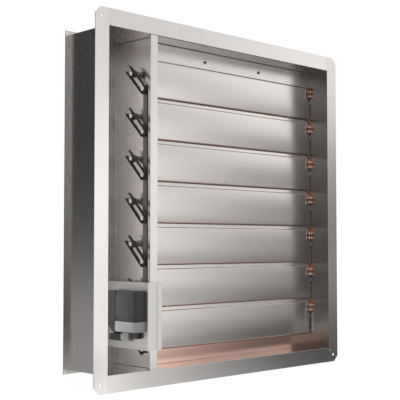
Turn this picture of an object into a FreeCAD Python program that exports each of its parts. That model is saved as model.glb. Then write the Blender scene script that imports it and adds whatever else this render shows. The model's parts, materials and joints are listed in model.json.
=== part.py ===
import FreeCAD, Part
import math
import os
import Sketcher
from FreeCAD import Placement, Rotation, Vector

# Multi-blade fire damper with a side compartment for its levers and actuator.
# The origin lies at the centre of the front flange face: X runs to the right,
# Y runs into the duct and Z runs up. All sizes are millimetres.

X_AXIS = Vector(1, 0, 0)
Y_AXIS = Vector(0, 1, 0)

doc = FreeCAD.newDocument("fire_damper")
sheet = doc.addObject("Spreadsheet::Sheet", "sizes")


class Size:
    """A length that carries the sheet expression it is worked out from."""

    def __init__(self, value, text):
        self.value = float(value)
        self.text = text

    def __add__(self, other):
        other = as_size(other)
        return Size(self.value + other.value, f"({self.text} + {other.text})")

    def __radd__(self, other):
        return as_size(other) + self

    def __sub__(self, other):
        other = as_size(other)
        return Size(self.value - other.value, f"({self.text} - {other.text})")

    def __rsub__(self, other):
        return as_size(other) - self

    def __mul__(self, factor):
        return Size(self.value * factor, f"({self.text} * {factor})")

    def __rmul__(self, factor):
        return self * factor

    def __truediv__(self, divisor):
        return Size(self.value / divisor, f"({self.text} / {divisor})")

    def __neg__(self):
        return Size(-self.value, f"(0 - {self.text})")


def as_size(value):
    """Lets plain numbers stand beside sizes."""
    return value if isinstance(value, Size) else Size(value, f"{value}")


sheet_rows = []


def size(alias, value, note):
    """Adds one driving dimension to the sheet and returns it."""
    row = len(sheet_rows) + 1
    sheet.set(f"A{row}", note)
    sheet.set(f"B{row}", f"{value}")
    sheet.setAlias(f"B{row}", alias)
    sheet_rows.append(alias)
    return Size(value, f"sizes.{alias}")


# Casing
opening = size("opening", 1000, "clear width and height of the casing")
depth = size("casing_depth", 195, "front flange face to rear flange face")
skin = size("casing_sheet", 2, "thickness of the casing sheet")
front_flange = size("front_flange", 50, "front flange, inner wall face to outer edge")
flange_chamfer = size("flange_chamfer", 20, "corner chamfer of the front flange")
fixing_hole = size("fixing_hole", 9, "diameter of the corner fixing holes")
fixing_inset = size("fixing_inset", 25, "fixing hole centre to the flange's outer edges")
rear_flange = size("rear_flange", 15, "rear flange, inner wall face to outer edge")
rear_hole = size("rear_hole", 4.5, "diameter of the rear corner holes")
rear_cut_out = size("rear_cut_out", 4, "drilling past the rear face")
rear_inset = size("rear_inset", 6.5, "rear hole centre to the flange's outer edges")
seam = size("seam", 0.2, "gap at sheet joints")

# Partition and compartment
compartment = size("compartment", 187, "casing's left wall to the airway")
partition_flange = size("partition_flange", 27, "width of the partition's flanges")
partition_front = size("partition_front", 2.5, "partition's front flange behind the casing's face")
tab_start = size("tab_start", 12, "front end of the partition's tabs")
tab_length = size("tab_length", 12, "length of the partition's tabs")
rear_rivet_end = size("rear_rivet_end", 50, "end rivets of the partition's rear flange to the walls")

# Blades
top_axis_down = size("top_axis_down", 108.5, "top blade's axis below the top wall")
bottom_axis_up = size("bottom_axis_up", 111.5, "lowest blade's axis above the bottom wall")
axis_depth = size("axis_depth", 91, "blade axes behind the front face")
blade_gap = size("blade_gap", 6, "gap between blade end and wall")
blade_skin = size("blade_skin", 1.2, "thickness of the blade sheet")
half_thick = size("blade_half_thickness", 8, "half the thickness of a blade")
lip_up = size("lip_up", 3.5, "blade's lower edge above the middle between two axes")
box_up = size("box_up", 15, "underside of the blade's box above that middle")
step_down = size("step_down", 13, "step in the blade's front below the next middle")
lap_up = size("lap_up", 12, "blade's upper edge above the next middle")
lap_set = size("lap_set", 5, "depth of the step, front face to lap strip")
seal_drop = size("seal_drop", 5.3, "seal strip below the blade's lip")
seal_high = size("seal_high", 12, "height of the seal strip")
seal_air = size("seal_air", 0.1, "air between a seal and the strip it closes on")

# Shafts and bushes
shaft_dia = size("shaft_diameter", 12, "diameter of the blade shafts")
shaft_fit = size("shaft_fit", 0.05, "radial play of a shaft in its bush")
bush_body = size("bush_body", 18, "outer diameter of a bush")
bush_flange = size("bush_flange", 22, "diameter of a bush's flange")
bush_head = size("bush_head", 4, "thickness of a bush's flange")
bush_left_tail = size("bush_left_tail", 10, "bush beyond the partition on the lever side")
bush_right_tail = size("bush_right_tail", 4, "bush beyond the right wall")

# Levers and tie bar, X measured from the partition's lever side
lever_radius = size("lever_radius", 75, "shaft centre to crank pin")
lever_thick = size("lever_thickness", 5, "thickness of the lever plate")
lever_width = size("lever_width", 24, "width of the lever")
lever_tail = size("lever_tail", 25, "lever beyond the shaft centre")
lever_nose = size("lever_nose", 11, "lever beyond the pin centre")
lever_off = size("lever_off", 20, "partition to the lever plate")
lever_rim = size("lever_rim", 2.5, "thickness of the lever's edge rims")
rim_height = size("rim_height", 7, "height of the lever's edge rims")
slot_width = size("slot_width", 14, "width of the slot and of the fork in the lever")
boss_dia = size("boss_diameter", 22, "hub boss of the lever")
boss_back = size("boss_back", 6, "hub boss behind the lever plate")
pin_dia = size("pin_diameter", 8, "diameter of the crank pins")
pin_head = size("pin_head", 14, "diameter of the pin heads")
pin_head_high = size("pin_head_height", 4.5, "height of the pin heads")
tie_width = size("tie_width", 18, "width of the tie bar")
tie_thick = size("tie_thickness", 5, "thickness of the tie bar")
tie_off = size("tie_off", 12, "partition to the tie bar")
tie_end = size("tie_end", 12, "tie bar beyond its end holes")
hub_screw = size("hub_screw", 6, "thread of the hub screw")
hub_head = size("hub_head", 12, "head of the hub screw across the flats")
hub_screw_high = size("hub_screw_height", 4.5, "height of the hub screw's head")
hub_screw_long = size("hub_screw_length", 14, "length of the hub screw's thread")
collar_dia = size("collar_diameter", 12, "collar on the crank pin")
collar_thick = size("collar_thickness", 2.5, "thickness of the crank pin's collar")

# Stops
stop_sheet = size("stop_sheet", 2, "thickness of the stop angles")
top_stop_clear = size("top_stop_clear", 1.3, "top stop's lip above the step of the top blade")
bottom_stop_clear = size("bottom_stop_clear", 3.3, "bottom stop's lip below the lowest blade's box")
stop_foot = size("stop_foot", 30, "foot of the stop angles")
stop_screw = size("stop_screw", 5, "thread of the stop screws")
stop_screw_head = size("stop_screw_head", 9.5, "head of the stop screws")
stop_screw_up = size("stop_screw_height", 22, "stop screw above the stop's lower edge")
stop_screw_half = size("stop_screw_half", 130, "stop screws left and right of the airway's middle")
block_wide = size("block_width", 12, "depth of a blade stop block along the duct")
block_thick = size("block_thickness", 12, "blade stop block out from the wall")
block_high = size("block_height", 28, "height of a blade stop block")
block_up = size("block_up", 16, "lower end of a blade stop block above the axis")
block_air = size("block_air", 0.2, "air between a blade and its stop block")
rivet_dia = size("rivet_diameter", 4, "shank of the rivets")
rivet_head = size("rivet_head", 7, "head of the rivets")
rivet_high = size("rivet_height", 2, "height of the rivet heads")
rivet_step = size("rivet_step", 17, "distance between the rivets of a block")
end_plate_thick = size("end_plate_thickness", 3, "thickness of the end stop plate")
end_plate_down = size("end_plate_down", 61.5, "lower end of the end stop plate below the axis")
end_plate_narrow = size("end_plate_narrow", 6, "width of the end stop plate's lower part")
end_plate_up = size("end_plate_up", 13, "wide part of the end stop plate above and below the axis")
tab_leg = size("blade_tab_leg", 8, "leg of the tab on the lowest blade")
tab_wide = size("blade_tab_width", 14, "foot of the tab on the lowest blade")
tab_high = size("blade_tab_height", 56, "height of the tab on the lowest blade")
tab_thick = size("blade_tab_thickness", 1.5, "sheet of the tab on the lowest blade")
tab_side = size("blade_tab_side", 19, "tab to the end of the blade")

# Side seals
seal_thick = size("side_seal_thickness", 5, "side seals out from the wall")
seal_set = size("side_seal_set", 1, "side seals behind the blades' front faces")
seal_deep = size("side_seal_depth", 14, "depth of the side seals along the duct")
seal_clear = size("side_seal_clear", 1, "side seals clear of the bush flanges")

# Actuator
bracket_out = size("bracket_out", 38, "outer face of the bracket's side plate from the airway")
bracket_front = size("bracket_front", 0.5, "bracket's front plate behind the casing's face")
bracket_over = size("bracket_over", 19, "bracket's front plate over the airway")
bracket_down = size("bracket_down", 54.5, "lower edge of the bracket below the drive axis")
bracket_high = size("bracket_height", 200.5, "height of the bracket")
bracket_fold = size("bracket_fold", 2, "step in the bracket's front plate from the airway")
bracket_foot = size("bracket_foot", 27, "rear flange of the bracket")
bracket_screw_end = size("bracket_screw_end", 20, "rear screw to the bracket's end")
shaft_opening = size("shaft_opening", 20, "hole for the drive shaft in the bracket")
act_thick = size("actuator_thickness", 43, "actuator out from the bracket")
act_behind = size("actuator_behind", 11, "rear face of the actuator behind the blade axes")
act_wide = size("actuator_width", 92, "width of the actuator along the duct")
act_split_up = size("actuator_split", 30.5, "joint of housing and cover above the drive axis")
act_top_up = size("actuator_top", 120.5, "top of the actuator's cover above the drive axis")
act_waist_down = size("actuator_waist", 0.5, "underside of the housing's wide part below the axis")
cover_screw_in = size("cover_screw_in", 7, "cover screws in from the cover's edges")
cover_wall = size("cover_wall", 2.5, "wall of the actuator's cover")
neck_wide = size("neck_width", 38, "width of the housing's neck")
neck_down = size("neck_down", 29.5, "underside of the housing's neck below the axis")
neck_thick = size("neck_thickness", 15, "neck out from the bracket")
clamp_thick = size("clamp_thickness", 12, "thickness of the shaft clamp")
clamp_dia = size("clamp_diameter", 18, "diameter of the shaft clamp")
clamp_air = size("clamp_air", 0.5, "air around the clamp in the housing")
end_stop_thick = size("end_stop_thickness", 15, "actuator end stops out from the bracket")
end_stop_high = size("end_stop_height", 19.5, "height of the actuator end stops")
front_stop_wide = size("front_stop_width", 39, "width of the front end stop")
front_stop_down = size("front_stop_down", 20.5, "underside of the front end stop below the axis")
front_stop_air = size("front_stop_air", 4, "front end stop to the housing's neck")
rear_stop_wide = size("rear_stop_width", 54, "width of the rear end stop")
rear_stop_down = size("rear_stop_down", 31.5, "underside of the rear end stop below the axis")
terminal_deep = size("terminal_depth", 36, "depth of the terminal box behind the cover")
terminal_down = size("terminal_down", 9.5, "front lower corner of the terminal box below the axis")
terminal_rise = size("terminal_rise", 28, "rise of its underside towards the rear")
gland_dia = size("gland_diameter", 16, "body of the cable gland")
gland_nut = size("gland_nut", 20, "nut of the cable gland across the flats")
gland_bore = size("gland_bore", 7, "bore of the cable gland")
gland_long = size("gland_length", 18, "cable gland out from the terminal box")
gland_hold = size("gland_hold", 5, "spigot of the gland inside the box")
gland_spigot = size("gland_spigot", 12, "spigot of the cable gland in the terminal box")
gland_down = size("gland_down", 22, "cable gland below the terminal box's top")

BLADES = 7
REAR_RIVETS = 6
half_open = opening / 2
first_axis = half_open - top_axis_down
pitch = (opening - top_axis_down - bottom_axis_up) / (BLADES - 1)
lip_low = pitch / 2 - lip_up
box_low = pitch / 2 - box_up
box_top = pitch / 2 - step_down
lap_top = pitch / 2 + lap_up
airway_left = compartment - half_open
airway_right = half_open
partition_out = airway_left - skin
blade_left = airway_left + blade_gap
blade_right = airway_right - blade_gap
blade_length = blade_right - blade_left
blade_middle = (blade_left + blade_right) / 2
face_depth = axis_depth - half_thick
seal_front = face_depth + seal_set
act_rear = axis_depth + act_behind
act_front = act_rear - act_wide
lever_face = partition_out - lever_off - lever_thick
tie_face = partition_out - tie_off
pin_reach = lever_radius * round(math.sqrt(0.5), 9)
zero = Size(0, "0")


def axis_height(number):
    """Height of a blade's axis, counted from the top."""
    return first_axis - pitch * (number - 1)


drive_height = axis_height(BLADES)
bracket_left = airway_left - bracket_out
bracket_right = airway_left + bracket_over
bracket_step = airway_left + bracket_fold
bracket_low = drive_height - bracket_down
act_split = drive_height + act_split_up
act_top = drive_height + act_top_up
act_waist = drive_height - act_waist_down
neck_low = drive_height - neck_down
front_stop_low = drive_height - front_stop_down
rear_stop_low = drive_height - rear_stop_down
terminal_low = drive_height - terminal_down
end_plate_low = drive_height - end_plate_down


def new_body(label):
    body = doc.addObject("PartDesign::Body", label)
    body.Label = label
    return body


def move(thing, x=zero, y=zero, z=zero, turn=None):
    """Places a thing in the damper's frame, bound to the sheet."""
    spot = Vector(x.value, y.value, z.value)
    thing.Placement = Placement(spot, turn if turn else Rotation())
    for axis, part in (("x", x), ("y", y), ("z", z)):
        thing.setExpression(f"Placement.Base.{axis}", part.text)
    return thing


def new_sketch(body, role, offset=zero):
    """A sketch on one of the body's own origin planes."""
    plane = [f for f in body.Origin.OriginFeatures if f.Role == role][0]
    sketch = body.newObject("Sketcher::SketchObject", f"{body.Name}_sketch")
    sketch.AttachmentSupport = [(plane, "")]
    sketch.MapMode = "FlatFace"
    sketch.AttachmentOffset = Placement(Vector(0, 0, offset.value), Rotation())
    sketch.setExpression(".AttachmentOffset.Base.z", offset.text)
    return sketch


def tie_point(sketch, geometry, point, x, y):
    """Fixes one point of a sketch at sheet sizes from the sketch's origin."""
    for kind, axis, part in (("DistanceX", -2, x), ("DistanceY", -1, y)):
        if abs(part.value) < 1e-9:
            sketch.addConstraint(Sketcher.Constraint("PointOnObject", geometry, point, axis))
            continue
        rule = Sketcher.Constraint(kind, -1, 1, geometry, point, part.value)
        index = sketch.addConstraint(rule)
        sketch.setExpression(f"Constraints[{index}]", part.text)


def outline(sketch, points):
    """Draws a closed outline through points given as sheet sizes."""
    points = [(as_size(x), as_size(y)) for x, y in points]
    first = sketch.GeometryCount
    for index, (x, y) in enumerate(points):
        to_x, to_y = points[(index + 1) % len(points)]
        start = Vector(x.value, y.value, 0)
        end = Vector(to_x.value, to_y.value, 0)
        sketch.addGeometry(Part.LineSegment(start, end), False)
    for index, (x, y) in enumerate(points):
        follower = first + (index + 1) % len(points)
        sketch.addConstraint(Sketcher.Constraint("Coincident", first + index, 2, follower, 1))
        tie_point(sketch, first + index, 1, x, y)
    return sketch


def rectangle(sketch, left, low, right, high):
    return outline(sketch, [(left, low), (right, low), (right, high), (left, high)])


def circle(sketch, x, y, diameter):
    x = as_size(x)
    y = as_size(y)
    centre = Vector(x.value, y.value, 0)
    index = sketch.GeometryCount
    sketch.addGeometry(Part.Circle(centre, Vector(0, 0, 1), diameter.value / 2), False)
    tie_point(sketch, index, 3, x, y)
    rule = sketch.addConstraint(Sketcher.Constraint("Diameter", index, diameter.value))
    sketch.setExpression(f"Constraints[{rule}]", diameter.text)
    return sketch


def feature(body, kind, sketch, length=None, symmetric=False, back=False):
    """Pads or pockets a sketch; without a length a pocket runs through all."""
    item = body.newObject(f"PartDesign::{kind}", f"{body.Name}_{kind.lower()}")
    item.Profile = sketch
    if length is None:
        item.Type = "ThroughAll"
    else:
        item.Length = length.value
        item.setExpression("Length", length.text)
    item.Reversed = back
    if symmetric:
        item.SideType = "Symmetric"
    body.Tip = item
    return item


def pad_along_x(body, draw, length, start=zero):
    """Pads an outline in the YZ plane towards +X."""
    return feature(body, "Pad", draw(new_sketch(body, "YZ_Plane", start)), length)


def pad_along_y(body, draw, length, start=zero):
    """Pads an outline in the XZ plane towards +Y."""
    return feature(body, "Pad", draw(new_sketch(body, "XZ_Plane", -start)), length, back=True)


def pad_along_z(body, draw, length, start=zero):
    """Pads an outline in the XY plane towards +Z."""
    return feature(body, "Pad", draw(new_sketch(body, "XY_Plane", start)), length)


def cut_through(body, role, draw):
    return feature(body, "Pocket", draw(new_sketch(body, role)), symmetric=True)


def holes(spots, diameter):
    """Returns a drawing function for round holes at the given spots."""
    def draw(sketch):
        for x, y in spots:
            circle(sketch, x, y, diameter)
        return sketch
    return draw


def box(label, left, right, front, rear, low, high):
    """A rectangular bar between six sheet sizes."""
    item = doc.addObject("Part::Box", label)
    item.Label = label
    for name, span in (("Length", right - left), ("Width", rear - front), ("Height", high - low)):
        setattr(item, name, span.value)
        item.setExpression(name, span.text)
    return move(item, left, front, low)


def turned(label, profile):
    """A round piece about the X axis; the profile holds (along, radius) points."""
    body = new_body(label)
    sketch = outline(new_sketch(body, "XY_Plane"), profile)
    item = body.newObject("PartDesign::Revolution", f"{label}_turned")
    item.Profile = sketch
    item.ReferenceAxis = ([f for f in body.Origin.OriginFeatures if f.Role == "X_Axis"][0], [""])
    item.Angle = 360
    body.Tip = item
    return body


def hexagon(across):
    """Returns a drawing function for a hexagon centred on the sketch's origin."""
    def draw(sketch):
        corners = []
        for step in range(6):
            angle = math.radians(60 * step)
            reach = across / math.sqrt(3)
            corners.append((reach * round(math.cos(angle), 9), reach * round(math.sin(angle), 9)))
        return outline(sketch, corners)
    return draw


def group(label, pieces):
    """Separate solids in one node: copies of masters, each at its own place."""
    shapes = []
    for master, place in pieces:
        copy = master.Shape.copy()
        copy.Placement = place
        shapes += copy.Solids
    item = doc.addObject("Part::Feature", label)
    item.Label = label
    item.Shape = Part.makeCompound(shapes)
    return item


def at(x, y, z, turn=None):
    spot = [value.value if isinstance(value, Size) else value for value in (x, y, z)]
    return Placement(Vector(*spot), turn if turn else Rotation())


# Casing panels

def side_panel(label, side):
    """Side sheet: wall, front flange with chamfered ends and rear flange."""
    body = new_body(label)
    inner = half_open * side
    outer = (half_open + skin) * side
    edge = (half_open + front_flange) * side
    tall = half_open + front_flange
    wall_end = half_open + skin

    def wall(sketch):
        return rectangle(sketch, inner, -wall_end, outer, wall_end)

    def front(sketch):
        return outline(sketch, [
            (inner, -tall), (edge - flange_chamfer * side, -tall), (edge, flange_chamfer - tall),
            (edge, tall - flange_chamfer), (edge - flange_chamfer * side, tall), (inner, tall)])

    def rear(sketch):
        reach = half_open + rear_flange
        return rectangle(sketch, inner, -reach, reach * side, reach)

    pad_along_y(body, wall, depth)
    pad_along_y(body, front, skin)
    pad_along_y(body, rear, skin, depth - skin)
    fixing = half_open + front_flange - fixing_inset
    small = half_open + rear_flange - rear_inset
    cut_through(body, "XZ_Plane", holes([(fixing * side, fixing * up) for up in (-1, 1)], fixing_hole))
    cut_through(body, "XZ_Plane", holes([(small * side, small * up) for up in (-1, 1)], rear_hole))
    return body


def end_panel(label, side):
    """Top or bottom sheet between the side panels."""
    body = new_body(label)
    edge = half_open - seam
    inner = half_open * side

    def strip(reach):
        return lambda sketch: rectangle(sketch, -edge, inner, edge, (half_open + reach) * side)

    pad_along_y(body, strip(skin), depth)
    pad_along_y(body, strip(front_flange), skin)
    pad_along_y(body, strip(rear_flange), skin, depth - skin)
    return body


side_panel("side_panel_left", -1)
right_wall = side_panel("side_panel_right", 1)
top_panel = end_panel("top_panel", 1)
bottom_panel = end_panel("bottom_panel", -1)
axis_spots = [(axis_depth, axis_height(number)) for number in range(1, BLADES + 1)]

block_left = airway_right - block_thick
block_rear = face_depth - block_air
block_middle = block_rear - block_wide / 2
rivet_spots = []
for blade_number in range(1, BLADES + 1):
    block_centre = axis_height(blade_number) + block_up + block_high / 2
    rivet_spots += [(block_middle, block_centre + rivet_step / 2 * side) for side in (-1, 1)]

# Only the right wall takes bushes; the left wall lies outside the compartment and stays plain.
cut_through(right_wall, "YZ_Plane", holes(axis_spots, bush_body))
cut_through(right_wall, "YZ_Plane", holes(rivet_spots, rivet_dia))


def compartment_back(sketch):
    edge = half_open - seam
    return rectangle(sketch, -edge, -edge, airway_left, edge)


back_panel = new_body("compartment_back")
pad_along_y(back_panel, compartment_back, skin, depth - skin)

# Partition: a channel with its flanges towards the compartment and a tab at each end
partition = new_body("partition")
part_edge = half_open - seam
part_rear = depth - skin - seam
flange_left = airway_left - partition_flange


def partition_section(sketch):
    return outline(sketch, [
        (airway_left, partition_front), (airway_left, part_rear), (flange_left, part_rear),
        (flange_left, part_rear - skin), (partition_out, part_rear - skin),
        (partition_out, partition_front + skin), (flange_left, partition_front + skin),
        (flange_left, partition_front)])


def partition_tab(sketch):
    return rectangle(sketch, flange_left, tab_start, partition_out, tab_start + tab_length)


pad_along_z(partition, partition_section, part_edge * 2, -part_edge)
pad_along_z(partition, partition_tab, skin, part_edge - skin)
pad_along_z(partition, partition_tab, skin, -part_edge)
cut_through(partition, "YZ_Plane", holes(axis_spots, bush_body))
tab_rivet = (airway_left - partition_flange / 2, tab_start + tab_length / 2)
for cut_body in (partition, top_panel, bottom_panel):
    cut_through(cut_body, "XY_Plane", holes([tab_rivet], rivet_dia))
rear_rivet_x = partition_out - rivet_head / 2 - seam * 2
rear_rivet_step = (opening - rear_rivet_end * 2) / (REAR_RIVETS - 1)
rear_rivets = [(rear_rivet_x, half_open - rear_rivet_end - rear_rivet_step * step)
               for step in range(REAR_RIVETS)]
bracket_screw_x = bracket_left + bracket_foot - rear_inset
bracket_spots = [(bracket_screw_x, bracket_low + bracket_screw_end),
                 (bracket_screw_x, bracket_low + bracket_high - bracket_screw_end)]
for cut_body in (partition, back_panel):
    rear_holes = holes(rear_rivets + bracket_spots, rivet_dia)
    feature(cut_body, "Pocket", rear_holes(new_sketch(cut_body, "XZ_Plane", -depth - rear_cut_out)),
            rear_cut_out * 2 + skin, back=True)

# Stops above and below the blades
stop_left = airway_left + seam
stop_right = airway_right - seam
seal_face = axis_depth - half_thick + lap_set


def angle_stop(label, front, inner, lip):
    """Angle with its face across the airway and its foot on the casing."""
    body = new_body(label)
    side = 1 if inner.value > 0 else -1

    def section(sketch):
        foot = inner - stop_sheet * side
        return outline(sketch, [
            (front, lip), (front, inner), (front + stop_foot, inner), (front + stop_foot, foot),
            (front + stop_sheet, foot), (front + stop_sheet, lip)])

    pad_along_x(body, section, stop_right - stop_left, stop_left)
    return body


stop_edge = half_open - seam
top_lip = first_axis + box_top + top_stop_clear
bottom_lip = drive_height - box_low - bottom_stop_clear
top_stop = angle_stop("top_stop", face_depth, stop_edge, top_lip)
bottom_stop = angle_stop("bottom_stop", seal_face, -stop_edge, bottom_lip)
airway_middle = (airway_left + airway_right) / 2
screw_height = top_lip + stop_screw_up
screw_spots = [(airway_middle + stop_screw_half * side, screw_height) for side in (-1, 1)]
cut_through(top_stop, "XZ_Plane", holes(screw_spots, stop_screw))


# Blades, each drawn about its own axis

def blade_section(sketch):
    """Folded double skin: lower lip in front, stepped strip above."""
    front = -half_thick
    strip = lap_set - half_thick
    return outline(sketch, [
        (front, -lip_low), (front, box_top), (strip, box_top), (strip, lap_top),
        (strip + blade_skin, lap_top), (strip + blade_skin, box_top), (half_thick, box_top),
        (half_thick, -box_low), (front + blade_skin, -box_low), (front + blade_skin, -lip_low)])


def blade_hollow(sketch):
    inside = half_thick - blade_skin
    return rectangle(sketch, -inside, blade_skin - box_low, inside, box_top - blade_skin)


def seal_section(sketch):
    front = blade_skin - half_thick
    low = -(lip_low + seal_drop)
    return rectangle(sketch, front, low, lap_set - half_thick - seal_air, low + seal_high)


def make_blade(number):
    height = axis_height(number)
    blade = new_body(f"blade_{number}")
    feature(blade, "Pad", blade_section(new_sketch(blade, "YZ_Plane")), blade_length, symmetric=True)
    feature(blade, "Pocket", blade_hollow(new_sketch(blade, "YZ_Plane")),
            blade_length - blade_skin * 2, symmetric=True)
    cut_through(blade, "YZ_Plane", holes([(zero, zero)], shaft_dia))
    move(blade, blade_middle, axis_depth, height)
    seal = new_body(f"seal_{number}")
    feature(seal, "Pad", seal_section(new_sketch(seal, "YZ_Plane")), blade_length, symmetric=True)
    move(seal, blade_middle, axis_depth, height)


shaft_end = half_open + skin + bush_right_tail
drive_end = bracket_left - clamp_thick


def make_shaft(number):
    """Round shaft from the lever to the right wall; the lowest one reaches the clamp."""
    start = drive_end if number == BLADES else lever_face
    far = shaft_end - start
    outer = shaft_dia / 2
    profile = [(zero, outer), (far, outer), (far, zero)]
    if number == BLADES:
        profile.append((zero, zero))
    else:
        profile += [(hub_screw_long, zero), (hub_screw_long, hub_screw / 2), (zero, hub_screw / 2)]
    shaft = turned(f"shaft_{number}", profile)
    move(shaft, start, axis_depth, axis_height(number))


lever_turn = Rotation(X_AXIS, 225)


def make_crank(number):
    """Slotted lever with a forked tail, drawn along +Y and turned down towards the front."""
    crank = new_body(f"crank_{number}")
    half = lever_width / 2
    nose = lever_radius + lever_nose
    corner = lever_nose / 2

    def plate(sketch):
        return outline(sketch, [
            (-lever_tail, -half), (nose - corner, -half), (nose, corner - half),
            (nose, half - corner), (nose - corner, half), (-lever_tail, half),
            (-lever_tail, slot_width / 2), (-boss_dia / 2, slot_width / 2),
            (-boss_dia / 2, -slot_width / 2), (-lever_tail, -slot_width / 2)])

    def slot(sketch):
        return rectangle(sketch, boss_dia / 2, -slot_width / 2, lever_radius - lever_nose, slot_width / 2)

    def rim(low):
        return lambda sketch: rectangle(sketch, -lever_tail, low, nose - corner, low + lever_rim)

    def boss(sketch):
        return circle(sketch, zero, zero, boss_dia)

    pad_along_x(crank, plate, lever_thick)
    pad_along_x(crank, rim(half - lever_rim), rim_height, -rim_height)
    pad_along_x(crank, rim(-half), rim_height, -rim_height)
    pad_along_x(crank, boss, boss_back, lever_thick)
    cut_through(crank, "YZ_Plane", slot)
    cut_through(crank, "YZ_Plane", holes([(zero, zero)], shaft_dia))
    cut_through(crank, "YZ_Plane", holes([(lever_radius, zero)], pin_dia))
    move(crank, lever_face, axis_depth, axis_height(number), lever_turn)


for blade_number in range(1, BLADES + 1):
    make_blade(blade_number)
    make_shaft(blade_number)
    make_crank(blade_number)

tab = new_body("blade_tab")
tab_right = blade_right - tab_side


def tab_section(sketch):
    left = tab_right - tab_wide
    return outline(sketch, [
        (left, face_depth), (left, face_depth - tab_leg), (left + tab_thick, face_depth - tab_leg),
        (left + tab_thick, face_depth - tab_thick), (tab_right, face_depth - tab_thick),
        (tab_right, face_depth)])


pad_along_z(tab, tab_section, tab_high, axis_height(BLADES) - tab_high / 2)

# Tie bar through all crank pins, placed by the pin of the lowest lever
tie_bar = new_body("tie_bar")
tie_span = pitch * (BLADES - 1)


def tie_outline(sketch):
    return rectangle(sketch, -tie_width / 2, -tie_end, tie_width / 2, tie_span + tie_end)


pad_along_x(tie_bar, tie_outline, tie_thick)
tie_spots = [(zero, pitch * step) for step in range(BLADES)]
cut_through(tie_bar, "YZ_Plane", holes(tie_spots, pin_dia + shaft_fit * 2))
tie_left = tie_face - tie_thick
pin_depth = axis_depth - pin_reach
move(tie_bar, tie_left, pin_depth, axis_height(BLADES) - pin_reach)

# Bushes, drawn with the wall's airway face at the origin
bush_bore = shaft_dia / 2 + shaft_fit


def make_bush(label, tail):
    """Flanged bush; its flange stands on the airway side, its tail passes the wall."""
    return turned(label, [
        (-bush_head, bush_bore), (skin + tail, bush_bore), (skin + tail, bush_body / 2),
        (zero, bush_body / 2), (zero, bush_flange / 2), (-bush_head, bush_flange / 2)])


bush_left = make_bush("bush_left_master", bush_left_tail)
bush_right = make_bush("bush_right_master", bush_right_tail)

# Fasteners, each drawn along +X with the face under its head at the origin


def make_rivet(label, grip):
    shank = rivet_dia / 2
    return turned(label, [
        (-rivet_high, zero), (-rivet_high, shank / 2), (-rivet_high / 2, rivet_head / 2 - rivet_high / 2),
        (zero, rivet_head / 2), (zero, shank), (grip, shank), (grip, zero)])


def make_screw(label, thread, head, head_high, long, socket):
    """Round-headed screw with a hexagon socket."""
    screw = turned(label, [
        (-head_high, zero), (-head_high, head / 2), (zero, head / 2), (zero, thread / 2),
        (long, thread / 2), (long, zero)])
    feature(screw, "Pocket", hexagon(socket)(new_sketch(screw, "YZ_Plane", -head_high)),
            head_high / 2, back=True)
    return screw


def make_hex_screw(label, thread, across, head_high, long):
    screw = new_body(label)
    pad_along_x(screw, hexagon(across), head_high, -head_high)
    pad_along_x(screw, holes([(zero, zero)], thread), long)
    return screw


block_rivet = make_rivet("block_rivet_master", block_thick + skin)
rear_rivet = make_rivet("rear_rivet_master", skin * 2 + seam)
tab_rivet_master = make_rivet("tab_rivet_master", skin * 2 + seam)
stop_screw_master = make_screw("stop_screw_master", stop_screw, stop_screw_head, stop_screw / 2,
                               stop_sheet, stop_screw / 2)
bracket_screw = make_screw("bracket_screw_master", rivet_dia, rivet_head, rivet_high, skin * 3 + seam * 2,
                           rivet_dia / 2)
cover_screw = make_screw("cover_screw_master", rivet_dia, rivet_head, rivet_high, act_thick + skin,
                         rivet_dia / 2)
hub_screw_master = make_hex_screw("hub_screw_master", hub_screw, hub_head, hub_screw_high, hub_screw_long)
pin_long = tie_face - lever_face + collar_thick + seam
pin_master = turned("pin_master", [
    (-pin_head_high, zero), (-pin_head_high, pin_head / 2 - pin_head_high / 4),
    (-pin_head_high * 0.75, pin_head / 2), (zero, pin_head / 2), (zero, pin_dia / 2),
    (pin_long, pin_dia / 2), (pin_long, zero)])
collar_master = turned("collar_master", [
    (zero, pin_dia / 2), (zero, collar_dia / 2), (collar_thick, collar_dia / 2), (collar_thick, pin_dia / 2)])

block_master = new_body("block_master")


def block_face(sketch):
    return rectangle(sketch, -block_wide / 2, -block_high / 2, block_wide / 2, block_high / 2)


pad_along_x(block_master, block_face, block_thick)
block_holes = holes([(zero, rivet_step / 2 * side) for side in (-1, 1)], rivet_dia)
cut_through(block_master, "YZ_Plane", block_holes)

# Side seals run between the bush flanges; the ends stop short of the top and bottom stops
seal_end = bush_flange / 2 + seal_clear
seal_long = box("side_seal_master", zero, seal_thick, zero, seal_deep, zero, pitch - seal_end * 2)
seal_top = box("side_seal_top_master", zero, seal_thick, zero, seal_deep, zero,
               top_lip - first_axis - seal_end - seal_clear)
seal_bottom = box("side_seal_bottom_master", zero, seal_thick, zero, seal_deep, zero,
                  axis_height(BLADES) - seal_end - bottom_lip - seal_clear)
seal_over = box("top_seal_master", stop_left, stop_right, face_depth + stop_sheet, seal_face - seal_air,
                top_lip + seal_clear, top_lip + seal_clear + seal_high)

end_plate = new_body("end_stop_plate")


def end_plate_outline(sketch):
    """Stepped plate: wide beside the lowest blade's axis, narrow below it."""
    front = block_rear - block_wide
    rear = axis_depth - bush_flange / 2 - seal_clear
    middle = axis_height(BLADES)
    return outline(sketch, [
        (front, end_plate_low), (front, middle + end_plate_up), (rear, middle + end_plate_up),
        (rear, middle - end_plate_up), (front + end_plate_narrow, middle - end_plate_up),
        (front + end_plate_narrow, end_plate_low)])


pad_along_x(end_plate, end_plate_outline, end_plate_thick, airway_right - end_plate_thick)

# Actuator bracket: front plate over the partition's flange, side plate and rear flange
bracket = new_body("actuator_bracket")
bracket_rear = part_rear - skin - seam


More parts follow.
